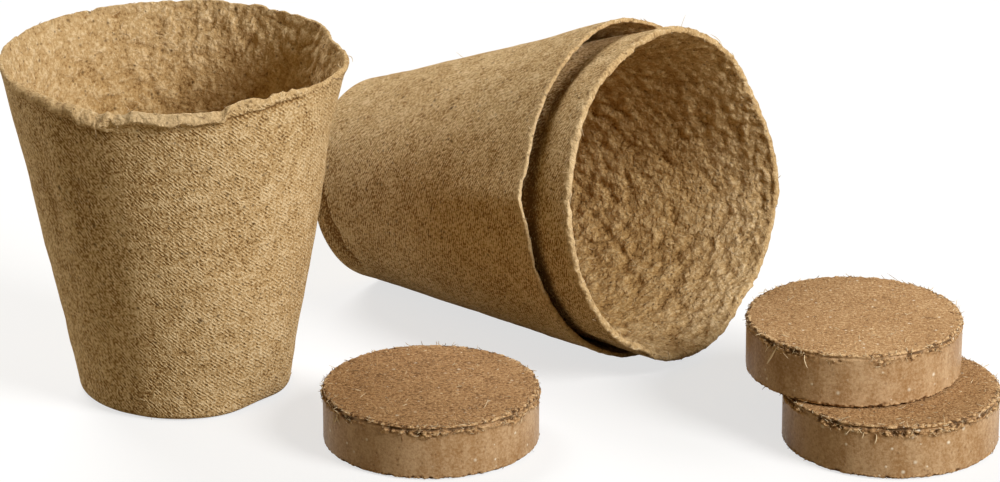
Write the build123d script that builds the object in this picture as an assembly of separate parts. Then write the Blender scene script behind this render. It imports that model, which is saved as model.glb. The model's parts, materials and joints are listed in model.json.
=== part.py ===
from build123d import *
import os
from math import atan2, cos, degrees, radians, sin, tan

# A set of peat pots as it is laid out for sale: one pot stands, two more lie nested on their side,
# and three pressed coir pellets lie in front, two of them stacked. Every pot is one shell of pressed
# fibre and every pellet one pressed disc, so the set comes apart into six loose pieces.
# Sizes are millimetres and degrees. +Z is up and the table top is Z = 0. The origin lies on the table,
# under the middle of the whole set. Bearings and headings count from +X towards +Y.

# One pot
POT_RIM_DIAMETER = 80.0
POT_BASE_DIAMETER = 49.0
POT_HEIGHT = 81.0
POT_WALL = 1.8
POT_FLOOR = 2.4
POT_BASE_CORNER = 1.8
POT_INSIDE_CORNER = 3.0
POT_RIM_ROUND = 0.7

# One pellet
PELLET_DIAMETER = 49.5
PELLET_THICKNESS = 12.8
PELLET_EDGE_BEVEL = 0.6

# Fits: the mean gap between the walls of nested pots, and the gap where a piece rests on another
NEST_CLEARANCE = 0.6
SEAT_GAP = 0.3

# The nested pair: where its mouths face, and how far its outer rim lies from the standing pot's rim
PAIR_HEADING = -38.7
PAIR_BEARING = 12.6
PAIR_GAP = 28.6

# The single pellet, seen from the standing pot
FRONT_PELLET_BEARING = -29.7
FRONT_PELLET_GAP = 3.1

# The stack, seen from the inner pot's mouth: ahead of the rim, and to the right of the heading
STACK_GAP = 43.7
STACK_SIDESTEP = 8.3
UPPER_PELLET_OFFSET = 13.0
UPPER_PELLET_BEARING = 128.5

# The share of the wall that the two rounds of the rim may take
RIM_ROUND_SHARE = 0.4


def pot_taper():
    """Half angle of the pot's cone, in degrees."""
    return degrees(atan2((POT_RIM_DIAMETER - POT_BASE_DIAMETER) / 2, POT_HEIGHT))


def nest_offset():
    """How far the inner pot stands out of the outer one, along their axis."""
    return (POT_WALL + NEST_CLEARANCE) / sin(radians(pot_taper()))


def make_pot():
    """One pot, standing on its base, with its axis on Z."""
    taper = radians(pot_taper())
    wall_along_radius = POT_WALL / cos(taper)
    base_radius = POT_BASE_DIAMETER / 2
    rim_radius = POT_RIM_DIAMETER / 2
    floor_radius = base_radius + POT_FLOOR * tan(taper) - wall_along_radius
    rim_round = min(POT_RIM_ROUND, RIM_ROUND_SHARE * POT_WALL)
    shell = FilletPolyline(
        (0, 0),
        (base_radius, 0),
        (rim_radius, POT_HEIGHT),
        (rim_radius - wall_along_radius, POT_HEIGHT),
        (floor_radius, POT_FLOOR),
        (0, POT_FLOOR),
        radius=[POT_BASE_CORNER, rim_round, rim_round, POT_INSIDE_CORNER],
    )
    half_section = make_face(shell + Line((0, POT_FLOOR), (0, 0)))
    return revolve(Plane.XZ * half_section, axis=Axis.Z)


def make_pellet():
    """One pellet, lying on the table, with its axis on Z. The press leaves a bevel on both edges."""
    disc = Cylinder(PELLET_DIAMETER / 2, PELLET_THICKNESS, align=(Align.CENTER, Align.CENTER, Align.MIN))
    return chamfer(disc.edges().filter_by(GeomType.CIRCLE), PELLET_EDGE_BEVEL)


def polar(distance, bearing):
    """A step on the table of that length, along that bearing."""
    return Vector(distance * cos(radians(bearing)), distance * sin(radians(bearing)), 0)


def outer_pot_place():
    """Tips a pot over onto one line of its wall, with its rim beside the standing pot."""
    taper = pot_taper()
    rim_centre = polar(POT_RIM_DIAMETER + PAIR_GAP, PAIR_BEARING)
    base_centre = rim_centre - polar(POT_HEIGHT * cos(radians(taper)), PAIR_HEADING)
    height = POT_BASE_DIAMETER / 2 * cos(radians(taper))
    return Pos(base_centre.X, base_centre.Y, height) * Rot(0, 0, PAIR_HEADING) * Rot(0, 90 - taper, 0)


def inner_pot_place():
    """The inner pot stands out of the outer one and rests on its lower wall, the pot's own +X side."""
    drop = (NEST_CLEARANCE - SEAT_GAP) / cos(radians(pot_taper()))
    return outer_pot_place() * Pos(drop, 0, nest_offset())


def front_pellet_place():
    """The single pellet lies just in front of the standing pot."""
    reach = POT_RIM_DIAMETER / 2 + FRONT_PELLET_GAP + PELLET_DIAMETER / 2
    return Pos(polar(reach, FRONT_PELLET_BEARING))


def lower_pellet_place():
    """The lower pellet of the stack lies ahead of the inner pot's mouth."""
    mouth = (inner_pot_place() * Pos(0, 0, POT_HEIGHT)).position
    ahead = polar(STACK_GAP + PELLET_DIAMETER / 2, PAIR_HEADING)
    aside = polar(STACK_SIDESTEP, PAIR_HEADING - 90)
    spot = mouth + ahead + aside
    return Pos(spot.X, spot.Y, 0)


def upper_pellet_place():
    """The upper pellet lies on the lower one, pushed off its middle."""
    return lower_pellet_place() * Pos(polar(UPPER_PELLET_OFFSET, UPPER_PELLET_BEARING)) * Pos(
        0, 0, PELLET_THICKNESS + SEAT_GAP
    )


def make_set():
    """All pieces by name, in place, with the middle of the set over the origin."""
    pot = make_pot()
    pellet = make_pellet()
    pieces = {
        "standing_pot": pot,
        "outer_pot": outer_pot_place() * pot,
        "inner_pot": inner_pot_place() * pot,
        "front_pellet": front_pellet_place() * pellet,
        "lower_pellet": lower_pellet_place() * pellet,
        "upper_pellet": upper_pellet_place() * pellet,
    }
    middle = Compound(list(pieces.values())).bounding_box().center()
    return {name: Pos(-middle.X, -middle.Y, 0) * piece for name, piece in pieces.items()}


def main():
    """Writes one file per piece."""
    os.makedirs("parts", exist_ok=True)
    for name, piece in make_set().items():
        export_step(piece, f"parts/{name}.step")


if __name__ == "__main__":
    main()
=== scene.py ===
"""Looks of a peat pot set: pots pressed from peat fibre and pellets pressed from coir, round the frame.

Every piece is a surface on a grid: a section is carried once round an axis, and random fields that are the
same on every run push it in and out. Lengths are metres, angles are degrees unless a name says otherwise.
"""

from __future__ import annotations

import itertools
import json
import logging
import math
from dataclasses import dataclass
from enum import Enum

import bpy
import numpy as np
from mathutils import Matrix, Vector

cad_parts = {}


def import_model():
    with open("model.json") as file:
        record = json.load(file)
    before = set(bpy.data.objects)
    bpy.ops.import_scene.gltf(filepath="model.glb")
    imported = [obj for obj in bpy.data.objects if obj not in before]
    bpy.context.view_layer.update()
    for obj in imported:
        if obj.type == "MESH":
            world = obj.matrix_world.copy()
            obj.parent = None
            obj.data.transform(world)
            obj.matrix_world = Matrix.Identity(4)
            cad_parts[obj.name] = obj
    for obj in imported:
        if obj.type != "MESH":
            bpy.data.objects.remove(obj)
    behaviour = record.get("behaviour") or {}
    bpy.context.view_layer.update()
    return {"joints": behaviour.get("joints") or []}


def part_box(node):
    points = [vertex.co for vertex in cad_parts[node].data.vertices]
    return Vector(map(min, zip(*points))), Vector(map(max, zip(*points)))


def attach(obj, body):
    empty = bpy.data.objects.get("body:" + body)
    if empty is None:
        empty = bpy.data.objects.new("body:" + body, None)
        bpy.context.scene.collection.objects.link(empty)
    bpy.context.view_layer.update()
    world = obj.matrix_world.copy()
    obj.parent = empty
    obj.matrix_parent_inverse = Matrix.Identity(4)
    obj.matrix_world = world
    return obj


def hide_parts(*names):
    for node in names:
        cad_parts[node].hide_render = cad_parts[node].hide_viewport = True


Array = np.ndarray
Socket = bpy.types.NodeSocket
Color = tuple[float, float, float]

MM = 0.001
log = logging.getLogger("peat_pot_set")


class Slot(Enum):
    """Material slots of the record."""

    PEAT = "pressed_peat"
    COIR = "pressed_coir"


class Mark(Enum):
    """Names of the values that a mesh carries at each point for its finish."""

    INSIDE = "inside"
    # Depth inside a pot, which the finish darkens as painted shade.
    DEEP = "deep"
    RIM = "rim"
    SIDE = "side"
    TORN = "torn"
    # Relief of lumps and crumbs, painted darker where low and lighter where high as painted shade, with the
    # painted shade of creases and crevices and the rim's mottle.
    RELIEF_AND_PAINTED_SHADE = "relief"
    TONE = "tone"
    # Stretch of wall that the finish paints with stronger speckle, as painted shade of relief under grazing
    # light.
    PAINTED_GRAZING_SHADE = "coarse"


def ease(low: float | Array, high: float | Array, value: Array) -> Array:
    """Smooth step: 0 below low, 1 above high, and a cubic with level ends between them."""
    share = np.clip((value - low) / (high - low), 0.0, 1.0)
    return share * share * (3.0 - 2.0 * share)


def bell(distance: Array, width: float) -> Array:
    """Bell curve: 1 at no distance, falling as the exponential of minus the squared share of the width."""
    return np.exp(-((distance / width) ** 2))


def turn_from(bearing: Array, start: float) -> Array:
    """Signed turn from a start bearing, in degrees from -180 to 180."""
    return (bearing - start + 180.0) % 360.0 - 180.0


def stretch_share(bearing: Array, start: float, end: float, soft: float) -> Array:
    """1 between two bearings, easing to 0 over twice the soft turn about each of them."""
    half = (end - start) / 2
    return 1.0 - ease(half - soft, half + soft, np.abs(turn_from(bearing, (start + end) / 2)))


def unit(vectors: Array) -> Array:
    """Vectors of length 1 along the given ones."""
    return vectors / np.linalg.norm(vectors, axis=-1, keepdims=True)


class Noise:
    """Random fields over space, the same on every run for the same seed."""

    TABLE = 256
    SPREAD = 1.6
    DOME = 0.75

    def __init__(self, seed: int) -> None:
        """Shuffles the lattice table and draws one slope and one spot for each of its entries.

        Args:
            seed: Number that picks the field.
        """
        draw = np.random.default_rng(seed)
        self.order = draw.permutation(self.TABLE)
        self.slopes = unit(draw.normal(size=(self.TABLE, 3)))
        self.spots = draw.uniform(size=(self.TABLE, 3))

    def pick(self, cell: Array) -> Array:
        """Walks the shuffled table once for each axis, so that every lattice cell gets its own entry."""
        x, y, z = (cell[..., axis] % self.TABLE for axis in range(3))
        first = self.order[x]
        second = self.order[(first + y) % self.TABLE]
        return self.order[(second + z) % self.TABLE]

    def waves(self, points: Array, grain: float) -> Array:
        """Smooth waves from about -1 to 1.

        A random slope stands at every corner of a lattice of the grain's size. The value at a point is the
        rise of the eight slopes around it, mixed by a quintic of the point's place in its cell.

        Args:
            points: Places in space, with the coordinates last.
            grain: Size of the lattice, about the length of one wave.

        Returns:
            One value for each point.
        """
        scaled = points / grain
        cell = np.floor(scaled).astype(int)
        inside = scaled - cell
        blend = inside**3 * (inside * (inside * 6.0 - 15.0) + 10.0)
        total = np.zeros(points.shape[:-1])
        for corner in itertools.product((0, 1), repeat=3):
            step = np.array(corner)
            rise = np.sum(self.slopes[self.pick(cell + step)] * (inside - step), axis=-1)
            total += rise * np.prod(np.where(step, blend, 1.0 - blend), axis=-1)
        return total * self.SPREAD

    def layers(self, points: Array, grain: float, count: int, keep: float = 0.5) -> Array:
        """Sum of waves whose grain halves and whose height falls by keep from one layer to the next."""
        heights = keep ** np.arange(count)
        total = sum(h * self.waves(points, grain * 0.5**i) for i, h in enumerate(heights))
        return total / heights.sum()

    def lumps(self, points: Array, grain: float) -> Array:
        """Rounded lumps with sharp creases between them.

        One random spot lies in each lattice cell, and the value falls from 1 at the nearest spot with the
        square of the distance to it.

        Args:
            points: Places in space, with the coordinates last.
            grain: Size of one lump.

        Returns:
            1 on top of a lump, about 0 or a little less in a crease.
        """
        scaled = points / grain
        cell = np.floor(scaled).astype(int)
        nearest = np.full(points.shape[:-1], np.inf)
        for corner in itertools.product((-1, 0, 1), repeat=3):
            near = cell + np.array(corner)
            gap = near + self.spots[self.pick(near)] - scaled
            nearest = np.minimum(nearest, np.sum(gap * gap, axis=-1))
        return 1.0 - nearest / self.DOME**2

    def bent(self, points: Array, grain: float, reach: float) -> Array:
        """Points moved along each axis by waves of their own, which bends any pattern laid over them."""
        rolled = (points, np.roll(points, 1, axis=-1), np.roll(points, 2, axis=-1))
        return points + reach * np.stack([self.waves(place, grain) for place in rolled], axis=-1)


@dataclass(frozen=True)
class Corner:
    """A corner of a section line: its place, the steps of the run to it, and the arc that rounds it."""

    radius: float
    height: float
    run_steps: int = 0
    arc: float = 0.0
    arc_steps: int = 0


def rounded_section(corners: list[Corner]) -> tuple[Array, Array]:
    """Section line of straight runs joined by tangent arcs.

    Each rounded corner gets an arc whose tangent length is the radius times the tangent of half the turn. A
    run is cut into equal steps, and an arc into equal turns about its centre.

    Args:
        corners: Start of the line, its corners in order, and its end.

    Returns:
        Points along the line, and the number of the run that each lies on, with a half for the arc after it.
    """
    spots = np.array([(corner.radius, corner.height) for corner in corners])
    ways = unit(np.diff(spots, axis=0))
    start = spots[0]
    points = []
    labels = []
    for index, corner in enumerate(corners[1:]):
        before, after = ways[index], ways[min(index + 1, len(ways) - 1)]
        turn = math.atan2(before[0] * after[1] - before[1] * after[0], float(before @ after))
        tangent = corner.arc * math.tan(abs(turn) / 2)
        end = spots[index + 1] - before * tangent
        points.append(start + (end - start) * np.arange(corner.run_steps)[:, None] / corner.run_steps)
        points.append(arc_points(end, before, math.copysign(corner.arc, turn), turn, corner.arc_steps))
        labels += [index] * corner.run_steps + [index + 0.5] * corner.arc_steps
        start = spots[index + 1] + after * tangent
    points.append(spots[-1:])
    labels.append(len(ways) - 1)
    return np.vstack(points), np.array(labels)


def arc_points(start: Array, way: Array, radius: float, turn: float, steps: int) -> Array:
    """Points at equal turns along an arc, its end left out.

    Args:
        start: Start of the arc.
        way: Direction of the line at the start.
        radius: Radius, above zero where the arc bends to the left.
        turn: Turn from start to end, in radians.
        steps: Number of points.

    Returns:
        The points.
    """
    centre = start + np.array([-way[1], way[0]]) * radius
    arm = start - centre
    angle = turn * np.arange(steps) / max(steps, 1)
    across = arm[0] * np.cos(angle) - arm[1] * np.sin(angle)
    up = arm[0] * np.sin(angle) + arm[1] * np.cos(angle)
    return centre + np.stack([across, up], axis=-1)


class RoundGrid:
    """A section carried once round an axis: rows along the section, columns round the axis."""

    def __init__(self, section: Array, columns: int, seam: float) -> None:
        """Carries the section and its normals round.

        Args:
            section: Points of the section as radius and height, from one pole to the other.
            columns: Number of columns.
            seam: Bearing of the first column, where flat coordinates are slit.
        """
        self.turned = np.arange(columns + 1) * 360.0 / columns
        self.bearing = (seam + self.turned[:-1]) % 360.0
        angle = np.radians(self.bearing)
        self.ring = np.stack([np.cos(angle), np.sin(angle)], axis=-1)
        self.radius, self.height = section[:, :1], section[:, 1:]
        steps = np.linalg.norm(np.diff(section, axis=0), axis=1)
        self.along = np.concatenate([[0.0], np.cumsum(steps)])[:, None]
        way = np.gradient(section, axis=0)
        self.points = self.spin(section)
        self.normals = self.spin(unit(np.stack([way[:, 1], -way[:, 0]], axis=-1)))

    def spin(self, pairs: Array) -> Array:
        """Carries pairs of an outward and an upward length round the axis."""
        across = pairs[:, :1, None] * self.ring
        return np.concatenate([across, np.broadcast_to(pairs[:, 1:, None], (*across.shape[:2], 1))], axis=-1)

    def fill(self, values: Array) -> Array:
        """Repeats values of rows or columns over the whole grid."""
        return np.broadcast_to(values, self.points.shape[:2])


def add_object(
    name: str, vertices: Array, faces: list[list[int]], marks: dict[Mark, Array]
) -> bpy.types.Object:
    """Puts a mesh with its point values into the scene, at the origin.

    Args:
        name: Name of the piece.
        vertices: Points in the shared frame.
        faces: Point numbers of each face, counter-clockwise seen from outside.
        marks: Values at each point for the finish.

    Returns:
        The new object.
    """
    mesh = bpy.data.meshes.new(name)
    mesh.from_pydata(vertices.tolist(), [], faces)
    for mark, values in marks.items():
        attribute = mesh.attributes.new(mark.value, "FLOAT", "POINT")
        attribute.data.foreach_set("value", np.ascontiguousarray(values, np.float32))
    mesh.polygons.foreach_set("use_smooth", np.ones(len(faces), bool))
    mesh.update()
    piece = bpy.data.objects.new(name, mesh)
    bpy.context.scene.collection.objects.link(piece)
    return piece


def add_round_piece(name: str, points: Array, marks: dict[Mark, Array], flat: Array) -> bpy.types.Object:
    """Closes a grid round its axis and at both poles, and puts it into the scene.

    Args:
        name: Name of the piece.
        points: Rows along the section by columns round the axis. The first and last rows are the poles.
        marks: Values on the same grid.
        flat: Flat coordinates in metres, with one column more than points, so that the seam can close.

    Returns:
        The new object.
    """
    rows, columns = points.shape[:2]

    def closed(grid: Array) -> Array:
        """Keeps one value for each pole and all values between them."""
        return np.concatenate([grid[0, :1], grid[1:-1].reshape(-1, *grid.shape[2:]), grid[-1, :1]])

    column = np.arange(columns)
    after = (column + 1) % columns
    first = 1 + np.arange(rows - 3)[:, None] * columns
    ahead = first + columns
    quads = np.stack([first + column, first + after, ahead + after, ahead + column], axis=-1)
    top = 1 + (rows - 3) * columns
    low_fan = np.stack([np.zeros(columns, int), 1 + after, 1 + column], axis=-1)
    high_fan = np.stack([top + column, top + after, np.full(columns, top + columns)], axis=-1)
    faces = low_fan.tolist() + quads.reshape(-1, 4).tolist() + high_fan.tolist()
    piece = add_object(name, closed(points), faces, {mark: closed(grid) for mark, grid in marks.items()})

    low = flat[1:-2]
    high = flat[2:-1]
    corners = [
        np.stack([flat[0, :-1], flat[1, 1:], flat[1, :-1]], axis=1),
        np.stack([low[:, :-1], low[:, 1:], high[:, 1:], high[:, :-1]], axis=2),
        np.stack([flat[-2, :-1], flat[-2, 1:], flat[-1, :-1]], axis=1),
    ]
    loops = np.concatenate([part.reshape(-1, 2) for part in corners])
    layer = piece.data.uv_layers.new(name="flat")
    layer.data.foreach_set("uv", np.ascontiguousarray(loops, np.float32).ravel())
    return piece


@dataclass(frozen=True)
class Place:
    """Where a piece's own axes stand in the shared frame."""

    origin: Array
    turn: Array

    def put(self, points: Array) -> Array:
        """Takes points from the piece's own axes to the shared frame."""
        return points @ self.turn.T + self.origin

    @staticmethod
    def upright(node: str) -> Place:
        """A place with level axes, under the middle of a node's box."""
        low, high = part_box(node)
        return Place(np.array([(low.x + high.x) / 2, (low.y + high.y) / 2, low.z]), np.eye(3))


@dataclass(frozen=True)
class Cover:
    """Loose fibres on a surface: how many, their mean length, and their lift as a rise over length."""

    count: int
    length: float
    lift: float


@dataclass(frozen=True)
class Strands:
    """Loose fibres of one piece in one mesh: thin bent tubes that taper to both ends."""

    steps: int = 6
    sides: int = 4
    tip: float = 0.3
    thin: float = 0.09 * MM
    thick: float = 0.19 * MM
    sway: float = 0.28
    aside: tuple[float, float, float] = (0.34, 0.51, 0.79)

    def build(
        self, name: str, root: Array, way: Array, bend: Array, size: Array, tone: Array
    ) -> bpy.types.Object:
        """Makes the tubes.

        A fibre's line starts at its root and goes its length along its way, and sideways by its bend times
        the square of the share passed. A ring of points stands square to the line at every step.

        Args:
            name: Name of the piece.
            root: Start of each fibre.
            way: Direction of each fibre, of length 1.
            bend: Sideways bend of each fibre, in shares of its length.
            size: Length and width of each fibre.
            tone: Tone of each fibre, from 0 for brown to 1 for straw.

        Returns:
            The new object.
        """
        share = np.linspace(0.0, 1.0, self.steps)[:, None]
        length, width = size[:, :1, None], size[:, 1:, None]
        line = root[:, None] + length * (way[:, None] * share + bend[:, None] * share**2)
        tangent = unit(way[:, None] + 2.0 * bend[:, None] * share)
        side = unit(np.cross(tangent, np.array(self.aside)))
        other = np.cross(tangent, side)
        angle = np.arange(self.sides) * 2.0 * math.pi / self.sides
        half = width / 2.0 * (self.tip + (1.0 - self.tip) * np.sqrt(np.abs(np.sin(math.pi * share))))
        arm = side[..., None, :] * np.cos(angle)[:, None] + other[..., None, :] * np.sin(angle)[:, None]
        points = line[..., None, :] + half[..., None] * arm
        points[..., 2] = np.maximum(points[..., 2], 0.0)

        around = np.arange(self.sides)
        after = (around + 1) % self.sides
        fibre = np.arange(len(root))[:, None, None] * self.steps * self.sides
        ring = fibre + np.arange(self.steps - 1)[:, None] * self.sides
        ahead = ring + self.sides
        tube = np.stack([ring + around, ring + after, ahead + after, ahead + around], axis=-1)
        first = fibre[:, 0] + around[::-1]
        last = fibre[:, 0] + (self.steps - 1) * self.sides + around
        faces = tube.reshape(-1, 4).tolist() + first.tolist() + last.tolist()
        marks = {Mark.TONE: np.repeat(tone, self.steps * self.sides)}
        return add_object(name, points.reshape(-1, 3), faces, marks)

    def scatter(
        self, name: str, draw: np.random.Generator, surface: tuple[Array, Array], weight: Array, cover: Cover
    ) -> bpy.types.Object:
        """Lays fibres on a surface at random places, each along it with a slight lift.

        Args:
            name: Name of the piece.
            draw: Source of random numbers.
            surface: Points and normals of the surface.
            weight: Share of fibres that each point gets.
            cover: Number, length and lift of the fibres.

        Returns:
            The new object.
        """
        count = cover.count
        points, normals = (grid.reshape(-1, 3) for grid in surface)
        chance = weight.reshape(-1) / weight.sum()
        spot = draw.choice(len(points), count, p=chance)
        normal = normals[spot]
        along = draw.normal(size=(count, 3))
        along = unit(along - normal * np.sum(along * normal, axis=-1, keepdims=True))
        way = unit(along + normal * cover.lift * draw.uniform(0.2, 1.8, (count, 1)))
        bend = draw.normal(size=(count, 3)) * self.sway
        lengths = cover.length * np.clip(draw.gamma(3.0, 1.0 / 3.0, count), 0.3, 2.6)
        widths = draw.uniform(self.thin, self.thick, count)
        sizes = np.stack([lengths, widths], axis=-1)
        return self.build(name, points[spot], way, bend, sizes, draw.uniform(size=count))


@dataclass(frozen=True)
class RimFeature:
    """A stretch of rim that is pushed out of round, as a bell of that width about a bearing."""

    bearing: float
    width: float
    out: float = 0.0
    up: float = 0.0


@dataclass(frozen=True)
class RimStretch:
    """A stretch of rim between two bearings, with soft ends.

    Its edge may be torn to a greater height, made rough, or rolled out so that it hangs down over the wall.
    """

    start: float
    end: float
    out: float = 0.0
    drop: float = 0.0
    rise: float = 0.0
    rough: float = 0.0
    soft: float = 2.5

    def share(self, bearing: Array) -> Array:
        """1 along the stretch, easing to 0 past both of its ends."""
        return stretch_share(bearing, self.start, self.end, self.soft)


@dataclass(frozen=True)
class WallDent:
    """A shallow hollow in the outside of the wall, as a bell in bearing and height; its shade sets the
    painted shade in it.
    """

    bearing: float
    width: float
    height: float
    reach: float
    depth: float
    shade: float = 0.0

    def share(self, bearing: Array, height: Array) -> Array:
        """1 in the middle of the hollow, falling to 0 around it."""
        return bell(turn_from(bearing, self.bearing), self.width) * bell(height - self.height, self.reach)

    def push(self, bearing: Array, height: Array) -> Array:
        """How far the wall is pushed out, below zero in the hollow."""
        return -self.depth * self.share(bearing, height)

    def crease(self, bearing: Array, height: Array) -> Array:
        """How much painted shade darkens the hollow, from 0 to 1."""
        return self.shade * self.share(bearing, height)


@dataclass(frozen=True)
class WallStep:
    """A step in the outside of the wall, along a line from one height to another between two bearings.

    The wall stands out by a length above the line, and by another one below it, which fades away downwards.
    """

    start: float
    end: float
    from_height: float
    to_height: float
    above: float = 0.0
    below: float = 0.0
    fade: float = 2.0 * MM
    soft: float = 1.0
    step: float = 0.35 * MM

    def shares(self, bearing: Array, height: Array) -> tuple[Array, Array]:
        """Shares of the wall above and just below the line, with soft ends.

        Args:
            bearing: Bearings of the wall's points.
            height: Heights of the wall's points.

        Returns:
            A share that is 1 above the line, and one that is 1 at the line and fades away below it.
        """
        passed = turn_from(bearing, self.start) / (self.end - self.start)
        line = self.from_height + (self.to_height - self.from_height) * passed
        over = ease(line - self.step, line + self.step, height)
        stretch = stretch_share(bearing, self.start, self.end, self.soft)
        return stretch * over, stretch * (1.0 - over) * np.exp(-np.maximum(line - height, 0.0) / self.fade)

    def push(self, bearing: Array, height: Array) -> Array:
        """How far the wall is pushed out on both sides of the line."""
        above, below = self.shares(bearing, height)
        return self.above * above + self.below * below

    def crease(self, bearing: Array, height: Array) -> Array:
        """How deep a point lies in the crease below the line, from 0 to 1, which sets the crease's painted
        shade.
        """
        return self.shares(bearing, height)[1]


@dataclass
class Pot:
    """One pot: a tapered shell pressed from wet fibre on a screen, woven outside and felted inside."""

    node: str
    place: Place
    seed: int
    seam: float = 0.0
    rim: tuple[RimFeature, ...] = ()
    stretches: tuple[RimStretch, ...] = ()
    dents: tuple[WallDent | WallStep, ...] = ()
    # Bearing and width of the stretch where the finish paints stronger speckle, as painted shade of relief
    # under grazing light.
    coarse: float = 280.0
    coarse_width: float = 45.0
    worn: float = 270.0
    worn_width: float = 30.0
    ragged: float = 0.32 * MM
    felt: float = 0.30 * MM
    felt_sunk: float = 0.25
    base_shift: float = 0.0
    rim_shift: float = 0.0

    rim_radius: float = 40.0 * MM
    base_radius: float = 24.5 * MM
    height: float = 81.0 * MM
    wall: float = 1.8 * MM
    edge: float = 1.3 * MM
    floor: float = 2.4 * MM
    base_corner: float = 1.8 * MM
    inside_corner: float = 3.0 * MM
    rim_round: float = 0.4 * MM
    rim_zone: float = 7.0 * MM
    base_zone: float = 13.0 * MM
    hang_outside: float = 2.4 * MM
    hang_inside: float = 0.8 * MM
    large_lump: float = 3.1 * MM
    small_lump: float = 1.6 * MM
    columns: int = 448
    fuzz: Cover = Cover(260, 0.8 * MM, 0.14)
    matted: Cover = Cover(40, 3.0 * MM, 0.06)

    @property
    def taper(self) -> float:
        """Half angle of the cone, in radians."""
        return math.atan2(self.rim_radius - self.base_radius, self.height)

    def section(self) -> tuple[Array, Array]:
        """Section of the shell, from the middle of the underside round the rim to the middle of the floor.

        Returns:
            Points as radius and height, and the number of the run that each lies on.
        """
        slope = math.tan(self.taper)
        across = self.wall / math.cos(self.taper)
        zone_low = self.height - self.rim_zone
        zone_radius = self.base_radius + zone_low * slope
        return rounded_section([
            Corner(0.0, 0.0),
            Corner(self.base_radius, 0.0, 6, self.base_corner, 6),
            Corner(self.base_radius + self.base_zone * slope, self.base_zone, 16),
            Corner(zone_radius, zone_low, 26),
            Corner(self.rim_radius, self.height, 20, self.rim_round, 5),
            Corner(self.rim_radius - self.edge, self.height, 4, self.rim_round, 5),
            Corner(zone_radius - across, zone_low, 14),
            Corner(self.base_radius + self.floor * slope - across, self.floor, 94, self.inside_corner, 6),
            Corner(0.0, self.floor, 12),
        ])

    def rim_moves(self, grid: RoundGrid, from_edge: Array, noise: Noise) -> tuple[Array, Array]:
        """How far each point is moved outwards and upwards by what happened to the rim.

        The bells of the rim's features fade down the wall. A torn stretch lifts only the last millimetres. A
        rolled stretch moves the outer edge out and down, most at the edge itself and crumpled by noise.

        Args:
            grid: The pot's plain grid.
            from_edge: Distance along the section from the rim's outer edge, below zero down the outside.
            noise: Random field of this pot.

        Returns:
            The outward and the upward move.
        """
        share = grid.height / self.height
        fade = ease(0.40, 1.0, share) ** 1.5
        near = ease(0.84, 1.0, share)
        out = np.zeros(grid.points.shape[:2])
        up = np.zeros(grid.points.shape[:2])
        for feature in self.rim:
            swell = bell(turn_from(grid.bearing, feature.bearing), feature.width)
            out += feature.out * swell * fade
            up += feature.up * swell * near
        crumple = 1.0 + 0.35 * noise.waves(grid.points, 6.0 * MM) + 0.14 * noise.waves(grid.points, 2.2 * MM)
        spread = np.where(from_edge < 0.0, self.hang_outside, self.hang_inside)
        hang = np.exp(-((from_edge / spread) ** 2))
        for stretch in self.stretches:
            part = stretch.share(grid.bearing)
            out += stretch.out * part * hang * crumple
            up += part * crumple * (stretch.rise * near**2 - stretch.drop * hang)
        return out, up

    def surface(self) -> tuple[Array, Array, dict[Mark, Array], Array]:
        """Works out the pot's grid.

        The plain grid moves outwards and upwards with the rim, along its normals by broad waves and dents on
        the outside and by felted lumps on the inside, and every way by fine noise on the rim's edge.

        Returns:
            Points and normals in the shared frame, marks for the finish, and flat coordinates.
        """
        coarse, fine, torn = (Noise(self.seed + step) for step in range(3))
        section, run = self.section()
        grid = RoundGrid(section, self.columns, self.seam)
        plain = grid.points
        edge_rows = grid.along[(run > 3.2) & (run < 4.8)]
        outer_edge, inner_edge = edge_rows.min(), edge_rows.max()
        beyond = np.maximum(np.maximum(outer_edge - grid.along, grid.along - inner_edge), 0.0)
        rim = 1.0 - ease(0.2 * MM, 2.0 * MM, beyond)
        inside = ease(outer_edge + 0.4 * MM, inner_edge + 0.6 * MM, grid.along)
        felted = inside * ease(0.0, 1.2 * MM, grid.along - inner_edge)
        below_edge = ease(0.0, 6.0 * MM, outer_edge - grid.along)
        pressed = (1.0 - inside) * below_edge * ease(1.0 * MM, 7.0 * MM, grid.height)

        broad = coarse.layers(plain, 26.0 * MM, 2) - 0.3
        uneven = fine.layers(plain, 5.0 * MM, 2) - 0.2
        push = pressed * (0.45 * MM * broad + 0.20 * MM * uneven)
        frayed_height = grid.height + 0.8 * MM * fine.layers(plain, 3.0 * MM, 2)
        wall = (1.0 - inside) * (run > 0.2)[:, None]
        push = push + wall * sum(dent.push(grid.bearing, frayed_height) for dent in self.dents)
        # Painted shade in the wall's creases and hollows, carried to the finish by the relief mark.
        crease = wall * sum(dent.crease(grid.bearing, frayed_height) for dent in self.dents)

        bent = fine.bent(plain, 3.6 * MM, 1.4 * MM)
        patch = 0.8 + 0.5 * coarse.waves(plain, 12.0 * MM)
        relief = 0.68 * coarse.lumps(bent, self.large_lump) + 0.32 * torn.lumps(bent, self.small_lump) - 0.42
        relief = np.clip((relief + 0.25 * fine.layers(plain, 2.4 * MM, 2)) / 0.45, -0.9, 1.3)
        push = push + felted * self.felt * patch * (relief - self.felt_sunk)

        out, up = self.rim_moves(grid, grid.along - outer_edge - 0.3 * MM, coarse)
        nick = ease(0.15, 0.55, torn.layers(plain, 5.0 * MM, 2)) * ease(0.93, 1.0, grid.height / self.height)
        shake = np.stack([noise.layers(plain, 2.6 * MM, 3, 0.55) for noise in (coarse, fine, torn)], axis=-1)
        rough = 1.0 + sum(stretch.rough * stretch.share(grid.bearing) for stretch in self.stretches)
        local = plain + push[..., None] * grid.normals + self.ragged * (rim * rough)[..., None] * shake
        local[..., :2] += out[..., None] * grid.ring
        local[..., 2] += up - 2.0 * self.ragged * nick
        local[..., 0] += self.base_shift + (self.rim_shift - self.base_shift) * grid.height / self.height
        local[[0, -1]] = local[[0, -1]].mean(axis=1, keepdims=True)

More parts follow.
